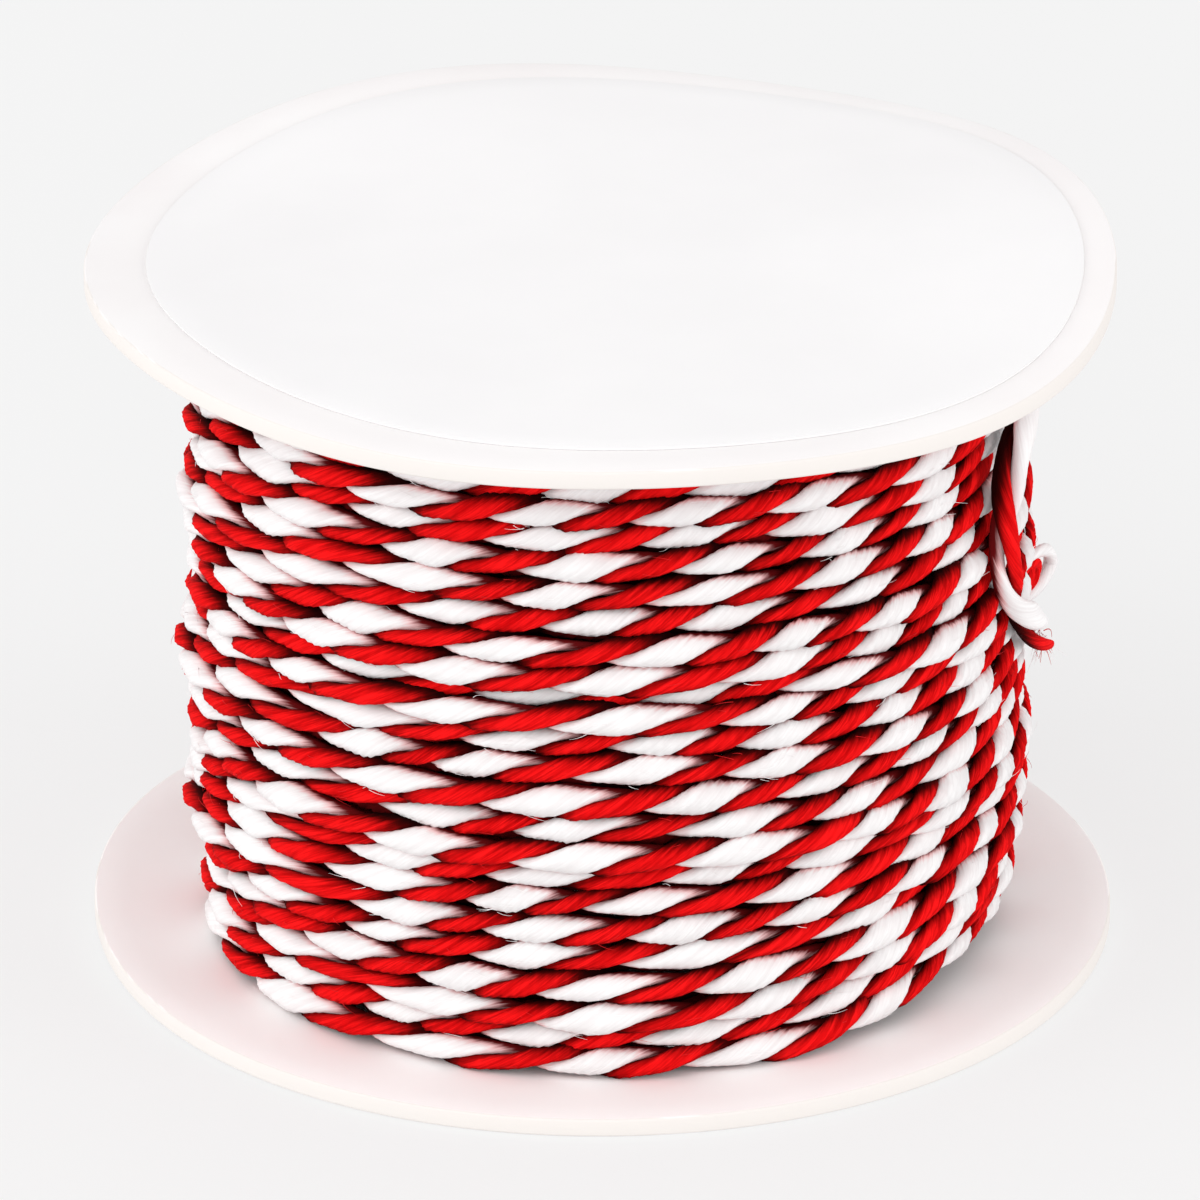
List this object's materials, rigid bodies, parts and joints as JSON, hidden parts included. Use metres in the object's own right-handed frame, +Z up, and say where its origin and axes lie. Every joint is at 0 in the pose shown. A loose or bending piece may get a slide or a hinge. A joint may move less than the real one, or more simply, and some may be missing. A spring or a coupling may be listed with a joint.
{
  "type": "cord_spool",
  "caption": "Short card spool standing on its lower flange, wound with a soft twisted red and white cord whose loose end lies over the turns",
  "frame": {"origin": "centre of the lower flange's underside, on the surface it stands on", "axes": "+Z up along the spool's axis, which is its shortest extent; -Y towards the viewer in the picture; +X to the right, where the loose end lies"},
  "size_m": [0.07, 0.07, 0.0502],
  "materials": {
    "card": "matt white card with a pale cut edge",
    "paper": "smooth matt white paper",
    "cord": "soft spun strands, one red and one white, twisted together"
  },
  "bodies": {
    "root": {"lower_flange": "card", "upper_flange": "card", "paper_facing": "paper", "winding": "cord", "loose_end": "cord"}
  },
  "joints": []
}
